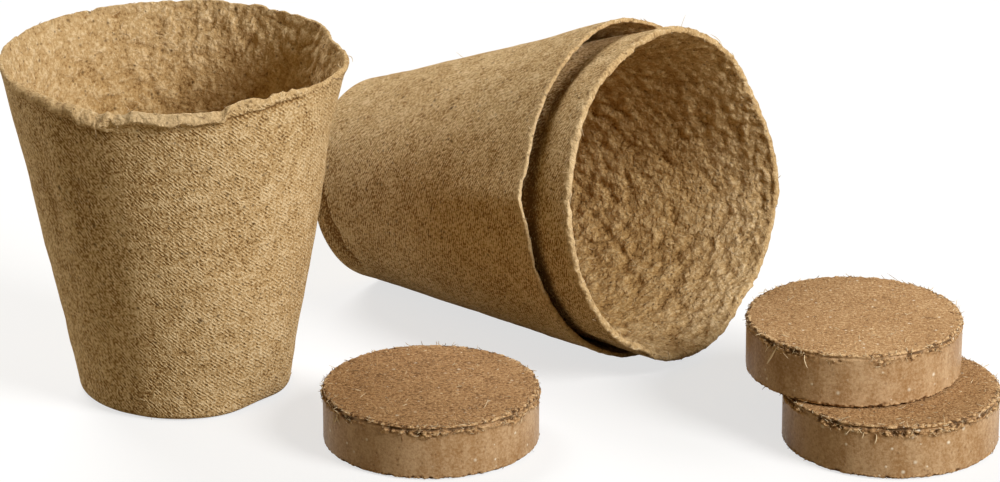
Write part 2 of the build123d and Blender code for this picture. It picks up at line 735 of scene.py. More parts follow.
        points = self.place.put(local)
        points[..., 2] = np.maximum(points[..., 2], 0.0)
        worn = 0.2 + 0.8 * bell(turn_from(grid.bearing, self.worn), self.worn_width)
        # The rim's mottle, darker away from the worn stretch as painted shade of its torn fibre.
        mottle_and_painted_shade = 0.6 * coarse.waves(plain, 4.0 * MM) - 0.6 * (1.0 - worn)
        marks = {
            Mark.INSIDE: grid.fill(ease(outer_edge - 0.5 * MM, outer_edge + 0.1 * MM, grid.along)),
            # Depth inside the pot, which the finish darkens as painted shade.
            Mark.DEEP: grid.fill(inside * ease(3.0 * MM, 30.0 * MM, self.height - grid.height)),
            Mark.RIM: rim * worn,
            # Felted relief painted darker where low as painted shade, the painted shade of creases, and the
            # rim's mottle.
            Mark.RELIEF_AND_PAINTED_SHADE: felted * relief - 3.0 * crease + rim * mottle_and_painted_shade,
            # Stretch of wall painted with stronger speckle, as painted shade of relief under grazing light.
            Mark.PAINTED_GRAZING_SHADE: grid.fill(bell(turn_from(grid.bearing, self.coarse), self.coarse_width)),
        }
        return points, grid.normals @ self.place.turn.T, marks, self.unrolled(grid)

    def unrolled(self, grid: RoundGrid) -> Array:
        """Flat coordinates of the cone, slit along its seam and laid out.

        A point lies at its slant length from the tip, at its turn about the axis times the taper's sine.

        Args:
            grid: The pot's plain grid.

        Returns:
            Coordinates in metres, for one column more than the grid has.
        """
        slant = self.base_radius / math.sin(self.taper) + grid.height / math.cos(self.taper)
        spread = np.radians(grid.turned - 180.0) * math.sin(self.taper)
        return np.stack([slant * np.sin(spread), slant * np.cos(spread)], axis=-1)

    def build(self, finish: bpy.types.Material, fibre: bpy.types.Material) -> list[bpy.types.Object]:
        """Makes the pot's meshes, dresses them and lets them ride in place of its node.

        Args:
            finish: Material of pressed peat.
            fibre: Material of loose fibres.

        Returns:
            The shell and its loose fibres.
        """
        points, normals, marks, flat = self.surface()
        shell = add_round_piece(f"{self.node}_shell", points, marks, flat)
        shell.data.materials.append(finish)
        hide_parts(self.node)
        draw = np.random.default_rng(self.seed)
        surface = (points, normals)
        weight = marks[Mark.RIM] + 0.10 * marks[Mark.INSIDE] + 0.04
        fuzz = Strands().scatter(f"{self.node}_fuzz", draw, surface, weight, self.fuzz)
        weight = marks[Mark.INSIDE] + 0.2
        strands = Strands(steps=9).scatter(f"{self.node}_strands", draw, surface, weight, self.matted)
        for piece in (fuzz, strands):
            piece.data.materials.append(fibre)
        for piece in (shell, fuzz, strands):
            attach(piece, self.node)
        return [shell, fuzz, strands]

    @staticmethod
    def lying(node: str, heading: float, sizes: Pot) -> Place:
        """Place of a pot that lies on one line of its wall, with its mouth along a heading.

        The pot's own +Z is its axis, and its own +X points down to the table. The origin follows from the
        lowest corner of the node's box.

        Args:
            node: Node that the pot stands for.
            heading: Bearing of the mouth, in radians.
            sizes: A pot whose section is used to find the lowest corner.

        Returns:
            The place.
        """
        ahead, aside = math.cos(heading), math.sin(heading)
        level, rise = math.cos(sizes.taper), math.sin(sizes.taper)
        axis = np.array([ahead * level, aside * level, rise])
        side = np.array([-aside, ahead, 0.0])
        turn = np.stack([np.cross(side, axis), side, axis], axis=-1)
        grid = RoundGrid(sizes.section()[0], 720, 0.0)
        lowest = (grid.points @ turn.T).reshape(-1, 3).min(axis=0)
        return Place(np.array(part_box(node)[0]) - lowest, turn)


@dataclass(frozen=True)
class SideFibre:
    """A single long fibre that hangs on a pellet's side.

    Its lean counts from the level way along rising bearings, upwards.
    """

    bearing: float
    height: float
    lean: float
    length: float
    bend: float = 0.0
    width: float = 0.24 * MM
    tone: float = 0.95


@dataclass
class Pellet:
    """One pellet: a disc of coir pressed in a die, burnished round its side and frayed at both edges."""

    node: str
    place: Place
    seed: int
    fibres: tuple[SideFibre, ...] = ()
    fringe: float = 1.0
    tone: float = 0.0
    radius: float = 24.75 * MM
    thickness: float = 12.8 * MM
    top_edge: float = 0.45 * MM
    base_edge: float = 0.8 * MM
    columns: int = 600
    hairs: Cover = Cover(620, 0.75 * MM, 0.20)
    flecks: Cover = Cover(320, 0.9 * MM, 0.05)

    def section(self) -> Array:
        """Section of the disc, from the middle of the underside round the side to the middle of the top."""
        return rounded_section([
            Corner(0.0, 0.0),
            Corner(self.radius, 0.0, 10, self.base_edge, 8),
            Corner(self.radius, 3.0 * MM, 10),
            Corner(self.radius, self.thickness - 3.4 * MM, 13),
            Corner(self.radius, self.thickness, 19, self.top_edge, 8),
            Corner(self.radius - 2.0 * MM, self.thickness, 10),
            Corner(0.0, self.thickness, 70),
        ])[0]

    def surface(self) -> tuple[Array, Array, dict[Mark, Array], Array]:
        """Works out the pellet's grid.

        A crevice runs round the side just below the top edge, and a broken band of loose crumbs below it.
        Lumps and layered noise fray the band and both edges along the normals. The top has a low fibrous
        relief, the side broad waves.

        Returns:
            Points and normals in the shared frame, marks for the finish, and flat coordinates.
        """
        coarse, fine, torn = (Noise(self.seed + step) for step in range(3))
        grid = RoundGrid(self.section(), self.columns, 90.0)
        plain = grid.points
        flattened = plain * np.array([1.0, 1.0, 0.25])
        inward = np.maximum(self.radius - grid.radius, 0.0)
        below_top = self.thickness - grid.height
        on_side = 1.0 - ease(0.1 * MM, 0.3 * MM, inward)
        reach = 1.0 + 0.6 * coarse.waves(flattened, 5.0 * MM) + 0.3 * fine.waves(flattened, 1.6 * MM)
        top_fray = 1.0 - ease(0.25 * MM, 0.80 * MM, np.hypot(0.6 * inward, below_top) / reach)
        base_fray = 1.0 - ease(0.35 * MM, 1.10 * MM, np.hypot(inward, grid.height) / reach)
        seam = 0.80 * MM + 0.30 * MM * fine.waves(flattened, 4.0 * MM)
        loose = ease(-0.5, 0.15, torn.layers(flattened, 7.0 * MM, 2) + 0.5 * (self.fringe - 1.0))
        gaping = ease(-0.25, 0.25, coarse.layers(flattened, 3.2 * MM, 2))
        crevice = bell(below_top - seam, 0.24 * MM) * on_side * (0.15 + 0.85 * loose * gaping)
        hanging = 1.0 - ease(0.6 * MM, 1.9 * MM, (below_top - seam) / reach)
        band = ease(0.0, 0.3 * MM, below_top - seam) * hanging * on_side * loose
        fray = np.maximum(np.maximum(top_fray, base_fray), band)

        crumb = 0.6 * torn.lumps(plain, 1.25 * MM) + 0.4 * fine.lumps(plain, 0.7 * MM)
        crumb = np.clip(crumb + 0.3 * coarse.layers(plain, 1.1 * MM, 2) - 0.42, -1.0, 1.0)
        top = ease(self.thickness - 0.05 * MM, self.thickness, grid.height) * (1.0 - top_fray)
        side = (1.0 - fray) * on_side * ease(0.0, 0.2 * MM, grid.height)
        mat = coarse.layers(plain, 2.4 * MM, 3, 0.6)
        streak = fine.layers(plain * np.array([1.0, 1.0, 0.3]), 7.0 * MM, 2)
        push = (0.32 * top_fray + 0.35 * base_fray) * crumb + 0.75 * self.fringe * band * (crumb + 0.25)
        push = push - 0.08 * fray - 0.75 * crevice + 0.06 * top * mat + 0.12 * side * streak
        local = plain + MM * push[..., None] * grid.normals
        local[..., 2] = np.clip(local[..., 2], 0.0, self.thickness + 0.2 * MM)
        local[[0, -1]] = local[[0, -1]].mean(axis=1, keepdims=True)
        marks = {
            Mark.SIDE: grid.fill(side),
            Mark.TORN: grid.fill(np.maximum(fray, crevice)),
            # Relief of crumbs and top, which the finish paints as light and shade, and the crevice as
            # painted shade.
            Mark.RELIEF_AND_PAINTED_SHADE: np.clip(fray * crumb / 0.45 - 1.4 * crevice + top * mat, -1.0, 1.0),
            Mark.TONE: grid.fill(np.array(self.tone)),
        }
        return self.place.put(local), grid.normals, marks, self.laid_flat(grid)

    def laid_flat(self, grid: RoundGrid) -> Array:
        """Flat coordinates: distance along the section from the top's middle, at its turn about the axis."""
        away = grid.along[-1] - grid.along
        angle = np.radians(grid.turned + 90.0)
        return np.stack([away * np.cos(angle), away * np.sin(angle)], axis=-1)

    def long_fibres(self) -> bpy.types.Object:
        """Makes the single fibres that hang on the side, each from its root along the wall."""
        bearing = np.radians([fibre.bearing for fibre in self.fibres])
        lean = np.radians([fibre.lean for fibre in self.fibres])
        outward = np.stack([np.cos(bearing), np.sin(bearing), np.zeros_like(bearing)], axis=-1)
        level = np.stack([-np.sin(bearing), np.cos(bearing), np.zeros_like(bearing)], axis=-1)
        upward = np.array([0.0, 0.0, 1.0])
        root = outward * (self.radius + 0.15 * MM)
        root[:, 2] = [fibre.height for fibre in self.fibres]
        way = level * np.cos(lean)[:, None] + upward * np.sin(lean)[:, None] + 0.12 * outward
        square = upward * np.cos(lean)[:, None] - level * np.sin(lean)[:, None]
        bend = square * np.array([fibre.bend for fibre in self.fibres])[:, None]
        size = np.array([(fibre.length, fibre.width) for fibre in self.fibres])
        tone = np.array([fibre.tone for fibre in self.fibres])
        name = f"{self.node}_long_fibres"
        return Strands(steps=9).build(name, self.place.put(root), unit(way), bend, size, tone)

    def build(self, finish: bpy.types.Material, fibre: bpy.types.Material) -> list[bpy.types.Object]:
        """Makes the pellet's meshes, dresses them and lets them ride in place of its node.

        Args:
            finish: Material of pressed coir.
            fibre: Material of loose fibres.

        Returns:
            The disc and its loose fibres.
        """
        points, normals, marks, flat = self.surface()
        disc = add_round_piece(f"{self.node}_disc", points, marks, flat)
        disc.data.materials.append(finish)
        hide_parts(self.node)
        draw = np.random.default_rng(self.seed)
        up = points[..., 2] - self.place.origin[2]
        upper = up > 0.7 * self.thickness
        hanging = upper * (0.2 + 0.8 * (up < self.thickness - 0.5 * MM))
        surface = (points, normals)
        frayed = marks[Mark.TORN] ** 2 * (0.1 + hanging)
        fringe = Strands().scatter(f"{self.node}_fringe", draw, surface, frayed, self.hairs)
        away = np.linalg.norm(points[..., :2] - self.place.origin[:2], axis=-1)
        lying = away * (0.02 + (1.0 - marks[Mark.SIDE]) * upper)
        flecks = Strands().scatter(f"{self.node}_flecks", draw, surface, lying, self.flecks)
        loose = [fringe, flecks] + ([self.long_fibres()] if self.fibres else [])
        for piece in loose:
            piece.data.materials.append(fibre)
        for piece in (disc, *loose):
            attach(piece, self.node)
        return [disc, *loose]


class NodeWriter:
    """Writes one node tree, with short calls for nodes and links."""

    def __init__(self, tree: bpy.types.NodeTree) -> None:
        """Keeps the tree that the calls write to."""
        self.tree = tree

    def node(self, kind: str, **settings: object) -> bpy.types.Node:
        """Adds a node of a kind and sets its properties."""
        made = self.tree.nodes.new(kind)
        for name, value in settings.items():
            setattr(made, name, value)
        return made

    def feed(self, socket: Socket, value: Socket | float | tuple) -> None:
        """Links a socket into another one, or sets a plain value on it."""
        if isinstance(value, bpy.types.NodeSocket):
            self.tree.links.new(value, socket)
        else:
            socket.default_value = value

    def math(self, operation: str, *values: Socket | float) -> Socket:
        """Adds a Math node over one to three values."""
        made = self.node("ShaderNodeMath", operation=operation)
        for socket, value in zip(made.inputs, values):
            self.feed(socket, value)
        return made.outputs[0]

    def times(self, first: Socket, second: Socket | float) -> Socket:
        """Product of two values."""
        return self.math("MULTIPLY", first, second)

    def without(self, value: Socket) -> Socket:
        """What a share leaves of 1."""
        return self.math("SUBTRACT", 1.0, value)

    def weighted(self, start: Socket | float, *terms: tuple[Socket, float]) -> Socket:
        """Adds up values, each times its weight, on top of a start value."""
        total = start
        for value, weight in terms:
            total = self.math("MULTIPLY_ADD", value, weight, total)
        return total

    def vector(self, operation: str, *values: Socket | tuple) -> Socket:
        """Adds a Vector Math node over its values."""
        made = self.node("ShaderNodeVectorMath", operation=operation)
        for socket, value in zip(made.inputs, values):
            self.feed(socket, value)
        return made.outputs["Vector"]

    def span(self, value: Socket, low: float | Socket, high: float | Socket, start: float = 0.0,
             end: float = 1.0) -> Socket:
        """Maps a value smoothly from one span to another, held at both ends."""
        made = self.node("ShaderNodeMapRange", interpolation_type="SMOOTHSTEP")
        for name, given in (("Value", value), ("From Min", low), ("From Max", high)):
            self.feed(made.inputs[name], given)
        made.inputs["To Min"].default_value = start
        made.inputs["To Max"].default_value = end
        return made.outputs["Result"]

    def blend(
        self, share: Socket, first: Socket | Color, second: Socket | Color, mode: str = "MIX"
    ) -> Socket:
        """Mixes two colours by a share."""
        made = self.node("ShaderNodeMix", data_type="RGBA", blend_type=mode)
        colors = [socket for socket in made.inputs if socket.type == "RGBA"]
        self.feed(made.inputs["Factor"], share)
        for socket, color in zip(colors, (first, second)):
            self.feed(socket, color if isinstance(color, bpy.types.NodeSocket) else (*color, 1.0))
        return next(socket for socket in made.outputs if socket.type == "RGBA")

    def noise(self, vector: Socket, scale: float, detail: float = 3.0, roughness: float = 0.6) -> Socket:
        """Adds a Noise texture and gives its value."""
        made = self.node("ShaderNodeTexNoise")
        self.feed(made.inputs["Vector"], vector)
        made.inputs["Scale"].default_value = scale
        made.inputs["Detail"].default_value = detail
        made.inputs["Roughness"].default_value = roughness
        return made.outputs["Fac"]

    def mark(self, mark: Mark) -> Socket:
        """Reads one of the mesh's own point values."""
        return self.node("ShaderNodeAttribute", attribute_name=mark.value).outputs["Fac"]

    def group(self, tree: bpy.types.NodeTree, **values: Socket | float) -> Socket:
        """Places a shared group with its own values, and gives its output."""
        placed = self.node("ShaderNodeGroup", node_tree=tree)
        for name, value in values.items():
            self.feed(placed.inputs[name], value)
        return placed.outputs[0]


class EffectGroups:
    """Shader node groups that several finishes share."""

    def __init__(self) -> None:
        """Builds every group once."""
        self.flecks = self.build_flecks()
        self.specks = self.build_specks()
        self.crumbs = self.build_crumbs()
        self.weave = self.build_weave()

    @staticmethod
    def start(name: str, inputs: dict[str, float], output: str) -> tuple[NodeWriter, object, Socket]:
        """Makes an empty group with a vector input, named value inputs and one output.

        Args:
            name: Name of the group.
            inputs: Name and default of each value.
            output: Name of the value that the group puts out.

        Returns:
            The group's writer, the sockets of its inputs, and the socket that takes the result.
        """
        tree = bpy.data.node_groups.new(name, "ShaderNodeTree")
        tree.interface.new_socket("Vector", in_out="INPUT", socket_type="NodeSocketVector")
        for title, value in inputs.items():
            socket = tree.interface.new_socket(title, in_out="INPUT", socket_type="NodeSocketFloat")
            socket.default_value = value
        tree.interface.new_socket(output, in_out="OUTPUT", socket_type="NodeSocketFloat")
        write = NodeWriter(tree)
        given = write.node("NodeGroupInput")
        result = write.node("NodeGroupOutput")
        return write, given.outputs, result.inputs[output]

    def build_flecks(self) -> bpy.types.NodeTree:
        """Short fibres: in each cell of a flat cell pattern, a thin bent streak at a random turn."""
        inputs = {"Scale": 400.0, "Width": 0.05, "Amount": 0.7}
        write, given, result = self.start("fibre_flecks", inputs, "Mask")
        scaled = write.node("ShaderNodeVectorMath", operation="SCALE")
        write.feed(scaled.inputs["Vector"], given["Vector"])
        write.feed(scaled.inputs["Scale"], given["Scale"])
        cells = write.node("ShaderNodeTexVoronoi", voronoi_dimensions="2D")
        cells.inputs["Scale"].default_value = 1.0
        write.feed(cells.inputs["Vector"], scaled.outputs[0])
        random = write.node("ShaderNodeSeparateColor")
        write.feed(random.inputs[0], cells.outputs["Color"])
        turned = write.node("ShaderNodeVectorRotate", rotation_type="Z_AXIS")
        from_middle = write.vector("SUBTRACT", scaled.outputs[0], cells.outputs["Position"])
        write.feed(turned.inputs["Vector"], from_middle)
        write.feed(turned.inputs["Angle"], write.times(random.outputs[0], 2.0 * math.pi))
        local = write.node("ShaderNodeSeparateXYZ")
        write.feed(local.inputs[0], turned.outputs[0])
        bend = write.times(write.math("POWER", local.outputs["X"], 2.0), 0.7)
        aside = write.math("ABSOLUTE", write.math("SUBTRACT", local.outputs["Y"], bend))
        thin = write.without(write.span(aside, 0.0, given["Width"]))
        short = write.without(write.span(write.math("ABSOLUTE", local.outputs["X"]), 0.3, 0.5))
        chosen = write.math("LESS_THAN", random.outputs[1], given["Amount"])
        write.feed(result, write.times(write.times(thin, short), chosen))
        return write.tree

    def build_specks(self) -> bpy.types.NodeTree:
        """Grains: a soft spot in the middle of some cells of a cell pattern in space, of random size."""
        inputs = {"Scale": 600.0, "Size": 0.3, "Amount": 0.2}
        write, given, result = self.start("grain_specks", inputs, "Mask")
        cells = write.node("ShaderNodeTexVoronoi")
        write.feed(cells.inputs["Vector"], given["Vector"])
        write.feed(cells.inputs["Scale"], given["Scale"])
        random = write.node("ShaderNodeSeparateColor")
        write.feed(random.inputs[0], cells.outputs["Color"])
        size = write.times(given["Size"], write.math("ADD", 0.5, random.outputs[2]))
        spot = write.without(write.span(cells.outputs["Distance"], 0.0, size))
        chosen = write.math("LESS_THAN", random.outputs[1], given["Amount"])
        write.feed(result, write.times(spot, chosen))
        return write.tree

    def build_crumbs(self) -> bpy.types.NodeTree:
        """Felted crumbs, from 0 to 1: domes over the cells of a bent cell pattern, with creases between."""
        write, given, result = self.start("felted_crumbs", {"Scale": 700.0, "Bend": 0.4}, "Height")
        bend = write.node("ShaderNodeTexNoise")
        write.feed(bend.inputs["Vector"], given["Vector"])
        write.feed(bend.inputs["Scale"], write.times(given["Scale"], 0.9))
        shift = write.node("ShaderNodeVectorMath", operation="SCALE")
        write.feed(shift.inputs["Vector"], write.vector("SUBTRACT", bend.outputs["Color"], (0.5, 0.5, 0.5)))
        reach = write.math("DIVIDE", write.times(given["Bend"], 3.0), given["Scale"])
        write.feed(shift.inputs["Scale"], reach)
        cells = write.node("ShaderNodeTexVoronoi")
        write.feed(cells.inputs["Vector"], write.vector("ADD", given["Vector"], shift.outputs[0]))
        write.feed(cells.inputs["Scale"], given["Scale"])
        write.feed(result, write.without(write.span(cells.outputs["Distance"], 0.0, 0.95)))
        return write.tree

    def build_weave(self) -> bpy.types.NodeTree:
        """Imprint of a twill screen: wavering ridges across a turned flat coordinate, worn off in spots."""
        inputs = {"Pitch": 0.70 * MM, "Turn": math.radians(44.0)}
        write, given, result = self.start("screen_weave", inputs, "Height")
        turned = write.node("ShaderNodeVectorRotate", rotation_type="Z_AXIS")
        write.feed(turned.inputs["Vector"], given["Vector"])
        write.feed(turned.inputs["Angle"], given["Turn"])
        local = write.node("ShaderNodeSeparateXYZ")
        write.feed(local.inputs[0], turned.outputs[0])
        rate = write.math("DIVIDE", 2.0 * math.pi, given["Pitch"])
        slow = write.times(write.noise(given["Vector"], 260.0, 2.0), 7.0)
        drift = write.weighted(slow, (write.noise(given["Vector"], 850.0, 1.0), 3.5))
        across = write.math("MULTIPLY_ADD", local.outputs["Y"], rate, drift)
        slant = write.times(across, 0.5)
        along = write.math("MULTIPLY_ADD", local.outputs["X"], write.times(rate, 0.4), slant)
        wires = write.times(write.math("SINE", across), 0.34)
        ridges = write.weighted(wires, (write.math("SINE", along), 0.16))
        kept = write.span(write.noise(given["Vector"], 520.0, 1.0), 0.38, 0.60, 0.05, 1.0)
        write.feed(result, write.math("MULTIPLY_ADD", ridges, kept, 0.5))
        return write.tree


def new_material(name: str) -> tuple[bpy.types.Material, NodeWriter, bpy.types.Node]:
    """Makes a material with nothing in its tree but its output and a Principled BSDF.

    Args:
        name: Name of the material.

    Returns:
        The material, a writer for its tree, and the Principled BSDF.
    """
    material = bpy.data.materials.new(name)
    material.use_nodes = True
    return material, NodeWriter(material.node_tree), material.node_tree.nodes["Principled BSDF"]


def add_bump(write: NodeWriter, shader: bpy.types.Node, millimetres: Socket) -> None:
    """Bends a shader's normal by a height field given in millimetres."""
    bump = write.node("ShaderNodeBump")
    bump.inputs["Strength"].default_value = 1.0
    bump.inputs["Distance"].default_value = MM
    write.feed(bump.inputs["Height"], millimetres)
    write.feed(shader.inputs["Normal"], bump.outputs["Normal"])


@dataclass(frozen=True)
class PressedPeat:
    """Finish of the pots: matte brown fibre, screen imprint outside, felted lumps inside, pale torn rim,
    painted shade in hollows.
    """

    light: Color = (0.74, 0.56, 0.33)
    middle: Color = (0.52, 0.345, 0.160)
    dark: Color = (0.235, 0.125, 0.042)
    speck: Color = (0.075, 0.038, 0.014)
    fleck: Color = (0.78, 0.62, 0.39)
    rim: Color = (0.72, 0.55, 0.33)
    # Painted shade: multiplies the colour deeper inside the pot.
    painted_deep_shade: Color = (0.78, 0.72, 0.60)
    broad_scale: float = 60.0
    patch_scale: float = 260.0
    grain_scale: float = 1500.0
    crumb_scale: float = 700.0
    roughness: float = 0.92
    specular: float = 0.06

    def build(self, effects: EffectGroups) -> bpy.types.Material:
        """Writes the material.

        Args:
            effects: Shared node groups.

        Returns:
            The material.
        """
        material, write, shader = new_material("pressed_peat")
        space = write.node("ShaderNodeTexCoord").outputs["Object"]
        flat = write.node("ShaderNodeUVMap", uv_map="flat").outputs["UV"]
        inside = write.mark(Mark.INSIDE)
        outside = write.without(inside)
        relief = write.mark(Mark.RELIEF_AND_PAINTED_SHADE)

        broad = write.noise(space, self.broad_scale, 2.0)
        patch = write.noise(space, self.patch_scale, 2.0)
        grain = write.noise(space, self.grain_scale, 2.0, 0.7)
        weave = write.times(outside, write.group(effects.weave, Vector=flat))
        crumbs = write.group(effects.crumbs, Vector=space, Scale=self.crumb_scale, Bend=0.5)
        felt = write.times(inside, crumbs)

        deep = write.mark(Mark.DEEP)
        # The painted grazing stretch gets stronger weave and grain speckle, as painted shade of relief under
        # grazing light.
        coarse = write.times(outside, write.mark(Mark.PAINTED_GRAZING_SHADE))
        uneven = write.weighted(-1.30, (weave, 1.0), (grain, 1.6))
        # Tone from random noise and the weave, with painted shade: darker where the relief is low, between
        # the felt's crumbs, in the painted creases and on the rim away from its worn stretch.
        tone = write.weighted(-1.22, (broad, 0.5), (patch, 0.6), (grain, 2.2), (weave, 0.70), (relief, 0.20))
        tone = write.weighted(tone, (felt, 0.45), (write.times(outside, patch), 0.6))
        tone = write.weighted(tone, (write.times(outside, grain), 1.0), (outside, -0.92))
        tone = write.weighted(tone, (write.times(outside, relief), 0.25), (write.times(deep, relief), 0.08))
        tone = write.weighted(tone, (write.times(coarse, uneven), 1.0))
        color = write.blend(write.span(tone, -0.1, 0.5), self.dark, self.middle)
        color = write.blend(write.span(tone, 0.5, 1.2), color, self.light)
        # Painted shade, deeper inside the pot.
        color = write.blend(deep, color, self.painted_deep_shade, "MULTIPLY")
        color = write.blend(write.times(write.mark(Mark.RIM), 0.5), color, self.rim)
        pale = write.group(effects.flecks, Vector=flat, Scale=300.0, Width=0.045, Amount=0.3)
        color = write.blend(write.times(pale, 0.5), color, self.fleck)
        fine = write.group(effects.specks, Vector=space, Scale=800.0, Size=0.36, Amount=0.22)
        large = write.group(effects.specks, Vector=space, Scale=260.0, Size=0.16, Amount=0.14)
        color = write.blend(write.times(fine, 0.75), color, self.speck)
        color = write.blend(write.times(large, 0.9), color, self.speck)
        write.feed(shader.inputs["Base Color"], color)

        height = write.weighted(0.0, (weave, 0.17), (grain, 0.22), (patch, 0.40), (felt, 0.24))
        height = write.weighted(height, (fine, -0.12), (write.times(grain, outside), 0.14))
        add_bump(write, shader, height)
        shader.inputs["Roughness"].default_value = self.roughness
        shader.inputs["Specular IOR Level"].default_value = self.specular
        return material


@dataclass(frozen=True)
class PressedCoir:
    """Finish of the pellets: reddish coir, fibrous on top, burnished round the side with a painted sheen,
    painted shade in crevices.
    """

    light: Color = (0.62, 0.415, 0.22)
    middle: Color = (0.380, 0.214, 0.093)
    dark: Color = (0.17, 0.083, 0.032)
    # Colour of the painted shade in crevices and pits.
    crevice: Color = (0.075, 0.037, 0.015)
    burnished: Color = (0.335, 0.185, 0.076)
    painted_sheen: Color = (0.540, 0.365, 0.210)
    sand: Color = (0.90, 0.82, 0.66)
    broad_scale: float = 90.0
    grain_scale: float = 1500.0
    crumb_scale: float = 1150.0
    roughness: float = 0.85
    burnished_roughness: float = 0.40
    specular: float = 0.12

    def build(self, effects: EffectGroups) -> bpy.types.Material:
        """Writes the material.

        Args:
            effects: Shared node groups.

        Returns:
            The material.
        """
        material, write, shader = new_material("pressed_coir")
        space = write.node("ShaderNodeTexCoord").outputs["Object"]
        flat = write.node("ShaderNodeUVMap", uv_map="flat").outputs["UV"]
        side = write.mark(Mark.SIDE)
        loose = write.without(side)
        relief = write.mark(Mark.RELIEF_AND_PAINTED_SHADE)

        broad = write.noise(space, self.broad_scale, 2.0)
        grain = write.noise(space, self.grain_scale, 2.0, 0.7)
        crumbs = write.group(effects.crumbs, Vector=space, Scale=self.crumb_scale, Bend=0.5)
        torn = write.mark(Mark.TORN)
        # Tone from random noise, with painted shade: darker where the relief is low and between crumbs,
        # lighter on crumb tops, most at the frayed edges.
        tone = write.weighted(-1.02, (broad, 0.5), (grain, 2.3), (relief, 0.28), (crumbs, 0.30))
        tone = write.weighted(tone, (write.mark(Mark.TONE), 1.0), (write.times(torn, relief), 0.8))
        rough = write.blend(write.span(tone, -0.1, 0.5), self.dark, self.middle)
        rough = write.blend(write.span(tone, 0.5, 1.2), rough, self.light)
        for step, (scale, width, color) in enumerate(((620.0, 0.07, self.light), (1250.0, 0.10, self.dark),
                                                      (1150.0, 0.09, self.light))):
            moved = write.vector("ADD", flat, (0.137 * step, 0.071 * step, 0.0))
            mask = write.group(effects.flecks, Vector=moved, Scale=scale, Width=width, Amount=0.75)
            rough = write.blend(write.times(mask, 0.75), rough, color)

        upright = write.vector("MULTIPLY", space, (1.0, 1.0, 0.4))
        streak = write.noise(upright, 300.0, 3.0)
        # Random streaks mix the burnished brown with a lighter painted sheen.
        mottle_and_sheen = write.weighted(0.0, (streak, 0.8), (grain, 0.9), (broad, 0.5))
        smooth = write.blend(write.span(mottle_and_sheen, 0.82, 1.40), self.burnished, self.painted_sheen)
        pore = write.group(effects.specks, Vector=space, Scale=900.0, Size=0.36, Amount=0.3)
        smooth = write.blend(write.times(pore, 0.5), smooth, self.dark)
        color = write.blend(write.times(side, 0.9), rough, smooth)
        # Painted shade: the frayed edges go dark where their relief is low, in the crevice and between
        # crumbs.
        painted_pit_shade = write.times(torn, write.span(relief, -0.8, 0.1, 1.0, 0.0))
        color = write.blend(write.times(painted_pit_shade, 0.75), color, self.crevice)
        sand = write.group(effects.specks, Vector=space, Scale=480.0, Size=0.23, Amount=0.3)
        color = write.blend(write.times(sand, 0.85), color, self.sand)
        write.feed(shader.inputs["Base Color"], color)

        roughness = write.span(side, 0.0, 1.0, self.roughness, self.burnished_roughness)
        write.feed(shader.inputs["Roughness"], roughness)
        height = write.times(write.weighted(0.0, (grain, 0.24), (crumbs, 0.12)), loose)
        height = write.weighted(height, (write.times(grain, side), 0.07), (pore, -0.05), (sand, 0.06))
        add_bump(write, shader, height)
        shader.inputs["Specular IOR Level"].default_value = self.specular
        return material


@dataclass(frozen=True)
class LooseFibre:
    """Finish of single fibres, from brown to straw."""

    brown: Color = (0.25, 0.135, 0.055)
    straw: Color = (0.78, 0.63, 0.41)
    roughness: float = 0.7
    specular: float = 0.25

    def build(self) -> bpy.types.Material:
        """Writes the material."""
        material, write, shader = new_material("loose_fibre")
        space = write.node("ShaderNodeTexCoord").outputs["Object"]
        tone = write.weighted(-0.25, (write.mark(Mark.TONE), 1.0), (write.noise(space, 900.0), 0.5))
        color = write.blend(write.span(tone, 0.0, 1.0), self.brown, self.straw)
        write.feed(shader.inputs["Base Color"], color)
        shader.inputs["Roughness"].default_value = self.roughness
        shader.inputs["Specular IOR Level"].default_value = self.specular
        return material


@dataclass(frozen=True)
class Lamp:
    """A disc of light that faces the origin, at a bearing, a rise above the table and a distance."""

    name: str
    bearing: float
    rise: float
    distance: float
    size: float
    power: float

    def build(self) -> None:
        """Adds the lamp to the scene."""
        data = bpy.data.lights.new(self.name, "AREA")
        data.shape = "DISK"
        data.size = self.size
        data.energy = self.power
        lamp = bpy.data.objects.new(self.name, data)
        bearing, rise = math.radians(self.bearing), math.radians(self.rise)
        level, up = self.distance * math.cos(rise), self.distance * math.sin(rise)
        lamp.location = (level * math.cos(bearing), level * math.sin(bearing), up)
        lamp.rotation_euler = (math.pi / 2 - rise, 0.0, bearing + math.pi / 2)
        bpy.context.scene.collection.objects.link(lamp)


